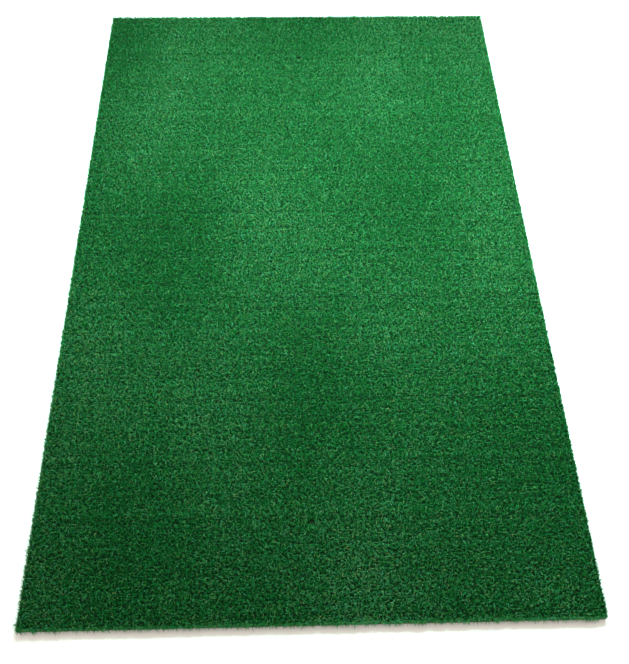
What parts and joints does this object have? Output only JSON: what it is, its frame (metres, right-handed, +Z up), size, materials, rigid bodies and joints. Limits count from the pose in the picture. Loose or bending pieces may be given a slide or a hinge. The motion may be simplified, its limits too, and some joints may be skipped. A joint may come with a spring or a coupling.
{
  "type": "golf hitting mat",
  "caption": "Flat rectangular golf hitting mat: short curly green artificial turf on a foam pad, square raw-cut edges, with a punched rubber-tee hole near each end.",
  "frame": {"origin": "middle of the underside, on the surface that the mat lies on", "axes": "+Y along the length of the mat towards its far end, +X across its width, +Z up out of the pile"},
  "size_m": [0.9144, 1.524, 0.015],
  "materials": {
    "foam": "matte closed-cell foam with a fine skin",
    "latex": "matte cured latex",
    "backing": "flat woven tape cloth",
    "turf": "short curly cut pile, satin fibres"
  },
  "bodies": {
    "root": {"foam_pad": "foam", "latex_coat": "latex", "primary_backing": "backing", "turf_pile": "turf"}
  },
  "joints": []
}
